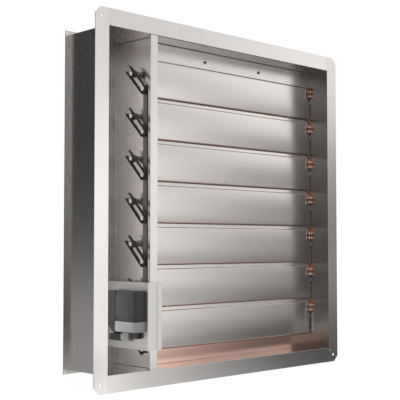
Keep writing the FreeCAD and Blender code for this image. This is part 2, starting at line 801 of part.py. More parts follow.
def bracket_section(sketch):
    right = bracket_left + bracket_foot
    inside = bracket_left + skin
    back = bracket_front + skin
    return outline(sketch, [
        (bracket_left, bracket_front), (bracket_step, bracket_front), (bracket_step, back),
        (bracket_right, back), (bracket_right, back + skin), (airway_left + seam, back + skin),
        (airway_left + seam, back), (inside, back), (inside, bracket_rear - skin),
        (right, bracket_rear - skin), (right, bracket_rear), (bracket_left, bracket_rear)])


pad_along_z(bracket, bracket_section, bracket_high, bracket_low)
feature(bracket, "Pocket", holes([(axis_depth, drive_height)], shaft_opening)(
    new_sketch(bracket, "YZ_Plane", bracket_left)), skin, back=True)
cover_screw_spots = [(y, z) for y in (act_front + cover_screw_in, act_rear - cover_screw_in)
                     for z in (act_split + cover_screw_in, act_top - cover_screw_in)]
feature(bracket, "Pocket", holes(cover_screw_spots, rivet_dia)(
    new_sketch(bracket, "YZ_Plane", bracket_left)), skin, back=True)
feature(bracket, "Pocket", holes(bracket_spots, rivet_dia)(
    new_sketch(bracket, "XZ_Plane", -(bracket_rear - skin * 2))), skin * 3)

# Actuator: cast housing with a neck below the drive shaft, cover above, terminal box behind
housing = new_body("actuator_housing")


def housing_wide(sketch):
    return rectangle(sketch, act_front, act_waist, act_rear, act_split - seam)


def housing_neck(sketch):
    half = neck_wide / 2
    corner = half / 2
    return outline(sketch, [
        (axis_depth - corner, neck_low), (axis_depth + corner, neck_low),
        (axis_depth + half, neck_low + corner), (axis_depth + half, act_waist),
        (axis_depth - half, act_waist), (axis_depth - half, neck_low + corner)])


def housing_base(sketch):
    return rectangle(sketch, act_front + cover_wall, act_split - seam, act_rear - cover_wall,
                     act_top - cover_wall)


def towards_left(body, draw, length):
    """Pads from the bracket's outer face towards -X."""
    return feature(body, "Pad", draw(new_sketch(body, "YZ_Plane", bracket_left)), length, back=True)


towards_left(housing, housing_wide, act_thick)
towards_left(housing, housing_neck, neck_thick)
towards_left(housing, housing_base, cover_wall)
feature(housing, "Pocket", holes([(axis_depth, drive_height)], clamp_dia + clamp_air * 2)(
    new_sketch(housing, "YZ_Plane", bracket_left)), clamp_thick + clamp_air)
cut_through(housing, "YZ_Plane", holes(cover_screw_spots, rivet_dia))

cover = new_body("actuator_cover")
cover_back = bracket_left


def cover_outline(sketch):
    return rectangle(sketch, act_front, act_split, act_rear, act_top)


def cover_hollow(sketch):
    return rectangle(sketch, act_front + cover_wall - seam, act_split - seam, act_rear - cover_wall + seam,
                     act_top - cover_wall + seam)


towards_left(cover, cover_outline, act_thick)
feature(cover, "Pocket", cover_hollow(new_sketch(cover, "YZ_Plane", cover_back)), act_thick - cover_wall)
cut_through(cover, "YZ_Plane", holes(cover_screw_spots, rivet_dia))

terminal = new_body("terminal_box")
terminal_front = act_rear + seam
terminal_rear = terminal_front + terminal_deep


def terminal_outline(sketch):
    """Side view: the underside rises towards the rear."""
    return outline(sketch, [
        (terminal_front, terminal_low), (terminal_rear, terminal_low + terminal_rise),
        (terminal_rear, act_top), (terminal_front, act_top)])


def neck_space(sketch):
    """Room for the housing's neck between the terminal box and the bracket."""
    return rectangle(sketch, terminal_front, terminal_low, axis_depth + neck_wide / 2 + seam, act_waist)


towards_left(terminal, terminal_outline, act_thick)
feature(terminal, "Pocket", neck_space(new_sketch(terminal, "YZ_Plane", bracket_left)), neck_thick + seam)
gland_x = bracket_left - act_thick / 2
gland_z = act_top - gland_down
feature(terminal, "Pocket", holes([(gland_x, gland_z)], gland_spigot)(
    new_sketch(terminal, "XZ_Plane", -terminal_rear)), gland_hold, back=True)

gland = new_body("cable_gland")
feature(gland, "Pad", hexagon(gland_nut)(new_sketch(gland, "XZ_Plane")), gland_long / 3, back=True)
feature(gland, "Pad", holes([(zero, zero)], gland_dia)(new_sketch(gland, "XZ_Plane")), gland_long, back=True)
feature(gland, "Pad", holes([(zero, zero)], gland_spigot)(new_sketch(gland, "XZ_Plane")), gland_hold)
cut_through(gland, "XZ_Plane", holes([(zero, zero)], gland_bore))
move(gland, gland_x, terminal_rear, gland_z)

# Shaft clamp on the end of the drive shaft, inside the housing
clamp = new_body("actuator_clamp")
pad_along_x(clamp, holes([(zero, zero)], clamp_dia), clamp_thick)
cut_through(clamp, "YZ_Plane", holes([(zero, zero)], shaft_dia))
move(clamp, drive_end, axis_depth, drive_height)

end_stop_left = bracket_left - end_stop_thick
front_stop_end = axis_depth - neck_wide / 2 - front_stop_air
rear_stop_start = axis_depth + neck_wide / 2 + seam
block_front = box("front_stop_master", end_stop_left, bracket_left, front_stop_end - front_stop_wide,
                  front_stop_end, front_stop_low, front_stop_low + end_stop_high)
block_back = box("rear_stop_master", end_stop_left, bracket_left, rear_stop_start,
                 rear_stop_start + rear_stop_wide, rear_stop_low, rear_stop_low + end_stop_high)

# Solids are copied from their masters once these have their shapes
doc.recompute()

ALONG_Y = Rotation(Vector(0, 0, 1), 90)
UP = Rotation(Y_AXIS, -90)
DOWN = Rotation(Y_AXIS, 90)
MIRROR = Rotation(Vector(0, 0, 1), 180)

bush_pieces = []
block_pieces = []
seal_pieces = [(seal_over, seal_over.Placement)]
for blade_number in range(1, BLADES + 1):
    height = axis_height(blade_number)
    bush_pieces.append((bush_left, at(airway_left, axis_depth, height, MIRROR)))
    bush_pieces.append((bush_right, at(airway_right, axis_depth, height)))
    block_pieces.append((block_master, at(block_left, block_middle, height + block_up + block_high / 2)))
for seal_x in (airway_left, airway_right - seal_thick):
    seal_pieces.append((seal_top, at(seal_x, seal_front, first_axis + seal_end)))
    seal_pieces.append((seal_bottom, at(seal_x, seal_front, bottom_lip + seal_clear)))
    for blade_number in range(2, BLADES + 1):
        seal_pieces.append((seal_long, at(seal_x, seal_front, axis_height(blade_number) + seal_end)))

group("bushes", bush_pieces)
group("blade_stops", block_pieces)
group("side_seals", seal_pieces)
group("stop_screws", [(stop_screw_master, at(x, face_depth, z, ALONG_Y)) for x, z in screw_spots])
rivet_x, rivet_y = tab_rivet
tab_inner = part_edge - skin
group("casing_rivets",
      [(block_rivet, at(block_left, y, z)) for y, z in rivet_spots]
      + [(rear_rivet, at(x, part_rear - skin, z, ALONG_Y)) for x, z in rear_rivets]
      + [(tab_rivet_master, at(rivet_x, rivet_y, tab_inner, UP)),
         (tab_rivet_master, at(rivet_x, rivet_y, -tab_inner, DOWN))])
group("bracket_screws", [(bracket_screw, at(x, bracket_rear - skin, z, ALONG_Y)) for x, z in bracket_spots])
group("actuator_screws",
      [(cover_screw, at(bracket_left - act_thick, y, z)) for y, z in cover_screw_spots])
group("end_stops", [(block_front, block_front.Placement), (block_back, block_back.Placement)])
for blade_number in range(1, BLADES + 1):
    height = axis_height(blade_number)
    pin_height = height - pin_reach
    bolts = [(pin_master, at(lever_face, pin_depth, pin_height)),
             (collar_master, at(tie_face + seam, pin_depth, pin_height))]
    if blade_number < BLADES:
        bolts.append((hub_screw_master, at(lever_face, axis_depth, height)))
    group(f"crank_bolts_{blade_number}", bolts)

doc.recompute()

masters = [item for item in doc.Objects if item.Label.endswith("_master")]
nodes = [item for item in doc.Objects
         if item.TypeId in ("PartDesign::Body", "Part::Feature", "Part::Box") and item not in masters]
for item in doc.Objects:
    if "Invalid" in item.State or "Error" in item.State:
        raise RuntimeError(f"{item.Label} did not compute: {item.State}")
for item in nodes:
    if item.Shape.isNull() or not item.Shape.isValid():
        raise RuntimeError(f"{item.Label} has no valid shape")

os.makedirs("parts", exist_ok=True)
for item in nodes:
    item.Shape.exportStep(f"parts/{item.Label}.step")
print(f"{len(nodes)} nodes written")
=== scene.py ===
# %% [markdown]
# # A multi-blade fire damper
# The damper is a square steel casing with seven blades that turn on shafts. A
# partition makes a narrow compartment on the left, where levers, a tie bar and
# an actuator drive the blades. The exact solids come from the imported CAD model;
# this lesson gives them their finishes, replaces the plainest ones with worked
# pieces, and sets up the floor, the lamps and the camera. Lengths are metres,
# with X to the right, Y into the duct and Z up.

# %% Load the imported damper
import json
import math

import bmesh
import bpy
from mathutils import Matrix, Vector


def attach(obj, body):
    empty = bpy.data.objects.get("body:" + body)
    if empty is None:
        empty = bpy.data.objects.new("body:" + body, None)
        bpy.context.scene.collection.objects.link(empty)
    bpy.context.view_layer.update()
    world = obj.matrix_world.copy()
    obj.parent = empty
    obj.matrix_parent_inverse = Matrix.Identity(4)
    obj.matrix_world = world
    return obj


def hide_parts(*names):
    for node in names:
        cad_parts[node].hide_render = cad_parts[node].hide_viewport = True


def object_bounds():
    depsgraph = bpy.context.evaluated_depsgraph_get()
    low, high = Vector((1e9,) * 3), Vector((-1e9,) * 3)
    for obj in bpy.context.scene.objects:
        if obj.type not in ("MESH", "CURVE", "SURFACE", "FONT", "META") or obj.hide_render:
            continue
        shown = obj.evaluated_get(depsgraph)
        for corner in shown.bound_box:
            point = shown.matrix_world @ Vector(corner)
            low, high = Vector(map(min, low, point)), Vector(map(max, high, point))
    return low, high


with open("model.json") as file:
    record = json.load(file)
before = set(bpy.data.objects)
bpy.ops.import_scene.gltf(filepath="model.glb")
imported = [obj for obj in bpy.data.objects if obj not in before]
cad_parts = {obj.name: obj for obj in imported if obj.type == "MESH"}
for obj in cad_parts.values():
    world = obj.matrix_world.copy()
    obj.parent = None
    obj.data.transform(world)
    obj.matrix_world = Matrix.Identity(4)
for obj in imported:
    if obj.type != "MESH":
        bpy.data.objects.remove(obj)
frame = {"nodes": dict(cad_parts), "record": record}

nodes = frame["nodes"]
cad_low, cad_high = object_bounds()
print(len(nodes), "CAD nodes between", tuple(cad_low), "and", tuple(cad_high))

# %% [markdown]
# ## The camera
# The photograph was taken from the left and a little below the middle of the
# damper. A perspective fit of the flange corners gives the camera's place, its
# turn and its lens, so the render can be laid over the photograph. The camera
# comes first, because every later step is judged through it.

# %% Set up the camera
CAMERA_PLACE = (-2.1102, -2.0536, -0.1283)
CAMERA_PITCH = math.radians(92.75)
CAMERA_TURN = math.radians(-43.83)
CAMERA_LENS = 82.2

bpy.ops.object.camera_add(location=CAMERA_PLACE, rotation=(CAMERA_PITCH, 0, CAMERA_TURN))
camera = bpy.context.object
camera.name = "view_of_the_damper"
camera.data.lens = CAMERA_LENS
camera.data.sensor_width = 36
camera.data.clip_end = 60
bpy.context.scene.camera = camera
print("camera", camera.name, "with a lens of", camera.data.lens, "mm")

# %% [markdown]
# ## Shader maths in plain expressions
# A material is a tree of nodes. Written out by hand, adding two values takes
# four lines. Here a small class wraps a socket, so `1 - mask * 0.3` makes its
# own Math nodes, and one method makes every other kind of node.

# %% Wrap the shader nodes
class Wire:
    """A node's output. Arithmetic on it adds Math nodes to its board."""

    def __init__(self, board, socket):
        self.board = board
        self.socket = socket

    def __add__(self, other):
        return self.board.maths("ADD", self, other)

    def __radd__(self, other):
        return self.board.maths("ADD", other, self)

    def __sub__(self, other):
        return self.board.maths("SUBTRACT", self, other)

    def __rsub__(self, other):
        return self.board.maths("SUBTRACT", other, self)

    def __mul__(self, other):
        return self.board.maths("MULTIPLY", self, other)

    def __rmul__(self, other):
        return self.board.maths("MULTIPLY", other, self)

    def __truediv__(self, other):
        return self.board.maths("DIVIDE", self, other)


class Board:
    """The node tree of one material or of the world."""

    def __init__(self, tree):
        self.tree = tree
        self.tree.nodes.clear()

    def node(self, kind, settings=None, sockets=None, output=0):
        """Adds a node: its settings first, then the values or links of its sockets."""
        made = self.tree.nodes.new("ShaderNode" + kind)
        for name, value in (settings or {}).items():
            if name == "stops":
                self.set_stops(made.color_ramp, value)
            else:
                setattr(made, name, value)
        for name, value in (sockets or {}).items():
            if isinstance(value, Wire):
                self.tree.links.new(value.socket, made.inputs[name])
            else:
                made.inputs[name].default_value = value
        return Wire(self, made.outputs[output]) if made.outputs else made

    def set_stops(self, ramp, stops):
        while len(ramp.elements) < len(stops):
            ramp.elements.new(1)
        for element, (place, colour) in zip(ramp.elements, stops):
            element.position = place
            element.color = colour

    def maths(self, operation, first, second):
        return self.node("Math", {"operation": operation}, {0: first, 1: second})

    def mix(self, factor, first, second):
        """Mixes two colours."""
        settings = {"data_type": "RGBA"}
        return self.node("Mix", settings, {0: factor, 6: first, 7: second}, output=2)

    def place(self, scale):
        """Object coordinates, in metres, stretched by a scale."""
        spot = self.node("TexCoord", output=3)
        return self.node("Mapping", None, {"Vector": spot, "Scale": scale})

    def noise(self, scale, detail=3.0, roughness=0.5, stretch=(1, 1, 1)):
        sockets = {"Vector": self.place(stretch), "Scale": scale, "Detail": detail,
                   "Roughness": roughness}
        return self.node("TexNoise", None, sockets)

    def spread(self, value, low, high):
        """Maps a value's range smoothly onto 0 to 1."""
        settings = {"interpolation_type": "SMOOTHSTEP"}
        return self.node("MapRange", settings, {0: value, 1: low, 2: high})

    def spot(self, axis):
        """One of the Object coordinates, in metres: 0, 1 or 2 for X, Y or Z."""
        coordinates = self.node("TexCoord", output=3)
        return self.node("SeparateXYZ", None, {"Vector": coordinates}, output=axis)


def shade(level):
    """A grey of one level."""
    return (level, level, level, 1.0)


# %% [markdown]
# ## Stainless sheet
# The casing and the blades are satin stainless sheet. Rolled sheet has a fine
# grain along its length, faint clouds where the surface was handled, and duller
# patches. The grain is noise stretched fifty times along one direction; the
# clouds are large soft noise. Both feed the roughness more than the colour,
# because that is what catches the eye on metal. The castings and mouldings get
# a fine speckle in place of the grain.

# %% Make the sheet metals
UPRIGHT_GRAIN = (1, 1, 0.02)
LEVEL_GRAIN = (0.02, 1, 1)
STAIN_COLOUR = (0.2, 0.18, 0.16, 1)
GRAIN = 0.004


def metal(name, colour, roughness, cloud=0.035, along=LEVEL_GRAIN, stain=0.0, bump=0.02):
    """A metal with rolled grain, clouds and stains."""
    material = bpy.data.materials.new(name)
    material.use_nodes = True
    board = Board(material.node_tree)
    clouds = board.noise(7.0, 4.0, 0.55)
    patches = board.noise(2.2, 2.0, 0.5)
    lines = board.noise(420.0, 2.0, 0.6, along)
    fine = board.noise(1500.0, 2.0, 0.6, along)
    level = (clouds - 0.5) * cloud + (patches - 0.5) * cloud + (lines - 0.5) * GRAIN
    tone = board.node("HueSaturation", None, {"Value": level + 1.0, "Color": colour})
    dull = (clouds - 0.5) * cloud * 1.4 + (lines - 0.5) * GRAIN * 1.6 + (fine - 0.5) * GRAIN
    rough = board.maths("MAXIMUM", dull + roughness, 0.08)
    if stain:
        spots = board.spread(board.noise(16.0, 6.0, 0.65), 0.56, 0.74)
        tone = board.mix(spots * stain, tone, STAIN_COLOUR)
        rough = rough + spots * stain * 0.3
    normal = board.node("Bump", None, {"Strength": bump, "Distance": 0.0002,
                                       "Height": lines * 0.5 + fine * 0.4})
    surface = board.node("BsdfPrincipled", None, {"Base Color": tone, "Metallic": 1.0,
                                                  "Roughness": rough, "Normal": normal})
    board.node("OutputMaterial", None, {"Surface": surface})
    return material


def moulding(name, colour, roughness, speckle=0.1, shine=0.5):
    """A moulded, cast or painted surface with a fine texture and faint clouds."""
    material = bpy.data.materials.new(name)
    material.use_nodes = True
    board = Board(material.node_tree)
    clouds = board.noise(12.0, 4.0, 0.6)
    specks = board.noise(900.0, 2.0, 0.6)
    level = (clouds - 0.5) * 0.25 + (specks - 0.5) * speckle
    tone = board.node("HueSaturation", None, {"Value": level + 1.0, "Color": colour})
    rough = (clouds - 0.5) * 0.25 + (specks - 0.5) * 0.2 + roughness
    normal = board.node("Bump", None, {"Strength": 0.25, "Distance": 0.0003, "Height": specks})
    surface = board.node("BsdfPrincipled", None, {"Base Color": tone, "Roughness": rough,
                                                  "Normal": normal, "Specular IOR Level": shine})
    board.node("OutputMaterial", None, {"Surface": surface})
    return material


casing_steel = metal("satin_casing_sheet", (0.62, 0.597, 0.582, 1), 0.27, along=UPRIGHT_GRAIN, bump=0.004)
# The left panel's sheet is a lighter copy of the casing sheet: painted light.
lightened_left_steel = metal("satin_left_sheet_painted_light", (0.66, 0.636, 0.62, 1), 0.27, along=UPRIGHT_GRAIN, bump=0.004)
# The right panel's sheet is a darker copy of the casing sheet: painted shade.
shaded_wall_steel = metal("satin_wall_sheet_painted_shade", (0.55, 0.53, 0.516, 1), 0.25, along=UPRIGHT_GRAIN, bump=0.004)
floor_steel = metal("satin_floor_sheet", (0.60, 0.58, 0.565, 1), 0.17, along=LEVEL_GRAIN)
blade_steel = metal("satin_blade_sheet", (0.575, 0.543, 0.525, 1), 0.24, along=LEVEL_GRAIN)
copper = metal("copper_seal_strip", (0.72, 0.47, 0.39, 1), 0.17, cloud=0.06)
bronze = metal("cast_bronze", (0.5, 0.21, 0.11, 1), 0.36, cloud=0.25, stain=0.5)
shaft_steel = metal("turned_shaft_steel", (0.52, 0.51, 0.50, 1), 0.3)
bush_steel = metal("grey_bush_steel", (0.42, 0.42, 0.42, 1), 0.4)
side_copper = metal("browned_spring_strip", (0.24, 0.15, 0.125, 1), 0.35, cloud=0.2, stain=0.3)
dark_steel = metal("dark_phosphated_steel", (0.17, 0.16, 0.15, 1), 0.45, cloud=0.1)
bracket_zinc = metal("dull_bracket_zinc", (0.66, 0.645, 0.625, 1), 0.5, cloud=0.06)
zinc = metal("bright_zinc", (0.72, 0.72, 0.70, 1), 0.28)
rivet_metal = metal("bright_rivet", (0.80, 0.80, 0.79, 1), 0.25)
black_steel = moulding("black_finished_steel", (0.03, 0.028, 0.026, 1), 0.38, speckle=0.15)
cast_alloy = moulding("cast_alloy", (0.29, 0.29, 0.295, 1), 0.45, speckle=0.2)
dark_seal = moulding("dark_graphite_seal", (0.10, 0.065, 0.055, 1), 0.55)
dark_cover = moulding("dark_moulded_cover", (0.05, 0.05, 0.05, 1), 0.5, shine=0.2)
black_plastic = moulding("black_moulding", (0.02, 0.02, 0.02, 1), 0.5)
black_screw = metal("blackened_screw", (0.10, 0.10, 0.10, 1), 0.45)
print("20 finishes made")

# %% Give every CAD node its finish
finishes = {"casing_steel": casing_steel, "blade_steel": blade_steel, "copper_strip": copper,
            "shaft_steel": shaft_steel, "black_steel": black_steel, "dark_steel": dark_steel,
            "zinc_bolts": zinc, "bright_rivets": rivet_metal, "dark_seal": dark_seal,
            "bush_steel": bush_steel, "bronze_block": bronze, "cast_housing": cast_alloy,
            "dark_cover": dark_cover, "black_plastic": black_plastic}
# The left and right panels take a lighter and a darker copy of the casing sheet: painted light and painted
# shade.
own_finishes = {"actuator_bracket": bracket_zinc, "bottom_panel": floor_steel,
                "side_panel_left": lightened_left_steel, "side_panel_right": shaded_wall_steel,
                "actuator_screws": black_screw, "stop_screws": black_screw}
for row in frame["record"]["subparts"]:
    node = nodes[row["node"]]
    node.data.materials.clear()
    node.data.materials.append(finishes[row["material_slot"]])
for name, finish in own_finishes.items():
    nodes[name].data.materials[0] = finish
print(len(nodes), "nodes have their finishes")

# %% [markdown]
# ## Modelling by hand, in code
# Each new piece below is made as it would be at the screen: a primitive is added,
# shaped in edit mode, and finished with modifiers that are applied at once. The
# helpers here only save typing. Sizes are given in millimetres, as on a
# workshop drawing, and turned into metres. Every piece keeps its object at the
# origin, with its place in its mesh, as the CAD nodes do.

# %% Helpers for edit mode
SHARP_EDGE = math.radians(40)
SMOOTH_BELOW = math.radians(35)
SAME_POINT = 1e-6


def metres(x, y, z):
    """A place or a step in metres, from millimetres."""
    return Vector((x, y, z)) / 1000


def begin(add, name, **settings):
    """Adds a primitive with nothing else selected and puts its place in its mesh."""
    bpy.ops.object.select_all(action="DESELECT")
    add(**settings)
    piece = bpy.context.object
    piece.name = name
    bpy.ops.object.transform_apply(location=True, rotation=True, scale=True)
    return piece


def focus(piece):
    bpy.ops.object.select_all(action="DESELECT")
    piece.select_set(True)
    bpy.context.view_layer.objects.active = piece


def edit(piece):
    focus(piece)
    bpy.ops.object.mode_set(mode="EDIT")


def leave():
    bpy.ops.object.mode_set(mode="OBJECT")


def choose(piece, kind, test):
    """Selects the points, edges or faces that pass a test."""
    bpy.ops.mesh.select_mode(type=kind)
    bpy.ops.mesh.select_all(action="DESELECT")
    shape = bmesh.from_edit_mesh(piece.data)
    for part in {"VERT": shape.verts, "EDGE": shape.edges, "FACE": shape.faces}[kind]:
        part.select_set(bool(test(part)))
    shape.select_flush_mode()
    bmesh.update_edit_mesh(piece.data)


def modify(piece, kind, **settings):
    """Adds a modifier and applies it."""
    focus(piece)
    modifier = piece.modifiers.new(kind.lower(), kind)
    for name, value in settings.items():
        setattr(modifier, name, value)
    bpy.ops.object.modifier_apply(modifier=modifier.name)
    return piece


def soften(piece, radius, segments=2):
    """Rounds every sharp edge; the radius is in millimetres."""
    return modify(piece, "BEVEL", width=radius / 1000, segments=segments, limit_method="ANGLE",
                  angle_limit=SHARP_EDGE)


def join(name, first, *others):
    """Makes one object of several."""
    focus(first)
    for other in others:
        other.select_set(True)
    bpy.ops.object.join()
    first.name = name
    return first


def copy_of(piece, name, step):
    """A copy with its own mesh, moved by a step."""
    twin = piece.copy()
    twin.data = piece.data.copy()
    twin.name = name
    bpy.context.collection.objects.link(twin)
    focus(twin)
    twin.location = metres(*step)
    bpy.ops.object.transform_apply(location=True, rotation=False, scale=False)
    return twin


def mount(piece, body, finish, slot, *stands_for):
    """Shades and paints a finished piece and lets it ride on a body."""
    focus(piece)
    bpy.ops.object.shade_smooth_by_angle(angle=SMOOTH_BELOW)
    piece.data.materials.clear()
    piece.data.materials.append(finish)
    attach(piece, body)
    if stands_for:
        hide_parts(*stands_for)
    return piece


print("helpers ready")

# %% [markdown]
# ## Bars, turned pieces and folded sheet
# Three ways of making cover most of the damper. A bar is a cube whose edges are
# rounded. A turned piece starts as a disc that is extruded and resized step by
# step, as a lathe hand reads a profile. A folded strip starts as one edge that
# is extruded through the profile; its folds are then bevelled and the sheet gets
# its thickness, which gives true bend radii instead of sharp corners.

# %% Helpers for the three ways
def bar(name, low, high, rounding=0.0, segments=2):
    """A bar between two corners."""
    low, high = metres(*low), metres(*high)
    piece = begin(bpy.ops.mesh.primitive_cube_add, name, size=1, location=(low + high) / 2,
                  scale=high - low)
    return soften(piece, rounding, segments) if rounding else piece


TURNS = {"X": (0, math.pi / 2, 0), "-X": (0, -math.pi / 2, 0), "Y": (-math.pi / 2, 0, 0),
         "-Y": (math.pi / 2, 0, 0), "Z": (0, 0, 0), "-Z": (math.pi, 0, 0)}


def turned(name, place, way, profile, sides=24):
    """A round piece whose profile holds (along, radius) steps."""
    (along, radius), *steps = profile
    piece = begin(bpy.ops.mesh.primitive_circle_add, name, vertices=sides, radius=radius / 1000,
                  fill_type="NGON", location=metres(0, 0, along))
    edit(piece)
    bpy.ops.mesh.select_all(action="SELECT")
    for next_along, next_radius in steps:
        step = metres(0, 0, next_along - along)
        bpy.ops.mesh.extrude_region_move(TRANSFORM_OT_translate={"value": step})
        ratio = next_radius / radius
        bpy.ops.transform.resize(value=(ratio, ratio, 1), center_override=metres(0, 0, next_along))
        along, radius = next_along, next_radius
    bpy.ops.mesh.select_all(action="SELECT")
    bpy.ops.mesh.remove_doubles(threshold=SAME_POINT)
    bpy.ops.mesh.normals_make_consistent(inside=False)
    leave()
    piece.rotation_euler = TURNS[way]
    piece.location = metres(*place)
    focus(piece)
    bpy.ops.object.transform_apply(location=True, rotation=True, scale=True)
    return piece


def folded_strip(name, run, start, end, profile, thick, segments=4):
    """A sheet through (across, up, bend) points, thick to the right of its way.

    It runs along X with the profile in Y and Z, or along Z with it in X and Y."""
    def spot(along, across, up):
        return metres(along, across, up) if run == "X" else metres(across, up, along)

    def beside(point):
        return (point.yz if run == "X" else point.xy) * 1000

    long = (end - start) / 1000
    piece = begin(bpy.ops.mesh.primitive_plane_add, name, size=long,
                  rotation=(0, 0, 0) if run == "X" else (0, math.pi / 2, 0))
    edit(piece)
    choose(piece, "VERT", lambda point: point.co.y > 0)
    bpy.ops.mesh.delete(type="VERT")
    bpy.ops.mesh.select_all(action="SELECT")
    first = spot((start + end) / 2, *profile[0][:2])
    bpy.ops.transform.translate(value=first + Vector((0, long / 2, 0)))
    for before, after in zip(profile, profile[1:]):
        step = spot(0, after[0] - before[0], after[1] - before[1])
        bpy.ops.mesh.extrude_region_move(TRANSFORM_OT_translate={"value": step})
    for across, up, bend in profile[1:-1]:
        fold = Vector((across, up))
        choose(piece, "EDGE",
               lambda edge: all((beside(point.co) - fold).length < 0.01 for point in edge.verts))
        bpy.ops.mesh.bevel(offset=bend / 1000, segments=segments, affect="EDGES")
    leave()
    widest = max(piece.data.polygons, key=lambda face: face.area)
    middle = beside(widest.center)

    def away(pair):
        begin_at, end_at = Vector(pair[0][:2]), Vector(pair[1][:2])
        way = (end_at - begin_at).normalized()
        return abs((middle - begin_at).cross(way))

    before, after = min(zip(profile, profile[1:]), key=away)
    right_hand = spot(0, after[1] - before[1], before[0] - after[0])
    modify(piece, "SOLIDIFY", thickness=thick / 1000, use_even_offset=True,
           offset=1 if widest.normal.dot(right_hand) > 0 else -1)
    return piece


def ease_edges(node, radius):
    """Rounds a CAD node's edges with live modifiers; its mesh stays as it is."""
    weld = node.modifiers.new("weld", "WELD")
    weld.merge_threshold = SAME_POINT
    flat = node.modifiers.new("flat", "DECIMATE")
    flat.decimate_type = "DISSOLVE"
    flat.angle_limit = math.radians(0.5)
    edge = node.modifiers.new("edge", "BEVEL")
    edge.width = radius / 1000
    edge.segments = 2
    edge.limit_method = "ANGLE"
    edge.angle_limit = SHARP_EDGE


print("bars, turned pieces and folded strips")

# %% [markdown]
# ## The main places
# The pieces below repeat at the seven blade axes. A repeated piece is modelled
# once, and all its copies are made before the first is mounted, so that none
# takes over the first one's ties to its body and its node.

# %% Write down the main places
AXIS_DEPTH = 91
TOP_AXIS = 391.5
PITCH = 130
AIRWAY_LEFT = -313
AIRWAY_RIGHT = 500
BLADE_ENDS = (-307, 494)
BLADES = 7
heights = [TOP_AXIS - PITCH * index for index in range(BLADES)]


def repeated(first, name):
    """The first axis's piece and its copies at the other axes."""
    return [first] + [copy_of(first, f"{name}_{index + 1}", (0, 0, -PITCH * index))
                      for index in range(1, BLADES)]


print("axes at", heights)

# %% [markdown]
# ## Blades
# A blade is two folded sheets: a front skin whose lower lip hangs over the next
# blade and whose top is set back to make room for it, and a shallow box behind.
# A box with sharp corners would do for the outline, but what one sees of a blade
# is the soft line at each fold, so the skin is a folded strip with bend radii
# and hems. The box's back gets a pressed panel that stiffens it.

# %% Fold one blade
SKIN_THICK = 0.9
STRIP_THICK = 0.4


def make_blade(name, height):
    y, z = AXIS_DEPTH, height
    skin = folded_strip(name, "X", *BLADE_ENDS, [
        (y - 5.2, z - 54, 0), (y - 5.2, z - 61.5, 1.1), (y - 8, z - 61.5, 1.1), (y - 8, z + 52, 2.4),
        (y - 3, z + 52, 2.2), (y - 3, z + 77, 1.0), (y - 0.6, z + 77, 1.0), (y - 0.6, z + 68, 0)],
        SKIN_THICK)
    case = bar("blade_case", (BLADE_ENDS[0] + 1, y - 6.9, z - 50), (BLADE_ENDS[1] - 1, y + 8, z + 51))
    edit(case)
    choose(case, "FACE", lambda face: face.normal.y > 0.9)
    bpy.ops.mesh.inset(thickness=0.016)
    bpy.ops.mesh.inset(thickness=0.003)
    bpy.ops.transform.translate(value=metres(0, -1.6, 0))
    leave()
    soften(case, 1.8, 3)
    return join(name, skin, case)


first_blade = make_blade("folded_blade_1", TOP_AXIS)
for number, blade in enumerate(repeated(first_blade, "folded_blade"), 1):
    mount(blade, f"blade_body_{number}", blade_steel, "blade_steel", f"blade_{number}")
print("seven blades of", len(first_blade.data.polygons), "faces")

# %% [markdown]
# ## Lip seals
# Under each lip sits a copper-coloured spring strip, and below it a dark bead
# that is painted shade: it stands for the shadowed gap under the lip. From in
# front the strip is only a reddish line and the bead a dark one, and these two
# lines draw the blades. They are a folded strip and a long bar with a round
# edge, both clear of the step of the next blade.

# %% Make the lip seals and the shade beads
def make_lip_seal(name, height):
    y, z = AXIS_DEPTH, height
    return folded_strip(name, "X", *BLADE_ENDS, [
        (y - 6.4, z - 55, 0), (y - 6.4, z - 63.2, 0.8), (y - 8.7, z - 63.2, 0.8), (y - 8.7, z - 61.8, 0)],
        STRIP_THICK, 2)


# A dark bead under the lip: painted shade for the shadowed gap there.
def make_shade_bead(name, height):
    y, z = AXIS_DEPTH, height
    bead = bar(name, (BLADE_ENDS[0] + 1, y - 8.0, z - 65.8), (BLADE_ENDS[1] - 1, y - 3.2, z - 63))
    return soften(bead, 1.2, 3)


for number, height in enumerate(heights, 1):
    body = f"blade_body_{number}"
    mount(make_lip_seal(f"lip_seal_{number}", height), body, copper, "copper_strip", f"seal_{number}")
    # The dark bead is painted shade for the gap under the lip.
    mount(make_shade_bead(f"lip_shade_bead_{number}", height), body, dark_seal, "dark_seal")
print("seven lip seals with beads")

# %% [markdown]
# ## Levers
# Each shaft carries a forked lever: two flanged arms that are joined at the hub
# and again at the crank pin, open between them. It could be cut from a plate,
# but it is quicker to grow it as it is seen: a hub block whose arms are
# extruded towards the tail and the nose and bridged at the nose, after which
# the outer edges are pulled out into flanges. It is drawn along Y and then
# turned down to the front by 225 degrees.

# %% Grow one lever
LEVER_FACE = -340
LEVER_THICK = 5
LEVER_TURN = math.radians(225)
HUB_HALF = 11
LEVER_HALF = 12
ARM_INSIDE = 9.2
RIM_INSIDE = 10.6
TAIL = 14
ARM = 55
NOSE = 20
RIM = 7


def off_middle(face):
    """How far a face of the lever is from its middle plane, in millimetres."""
    return abs(face.calc_center_median().z) * 1000


def pull(x, y, z):
    """Extrudes what is selected by a step in millimetres."""
    bpy.ops.mesh.extrude_region_move(TRANSFORM_OT_translate={"value": metres(x, y, z)})


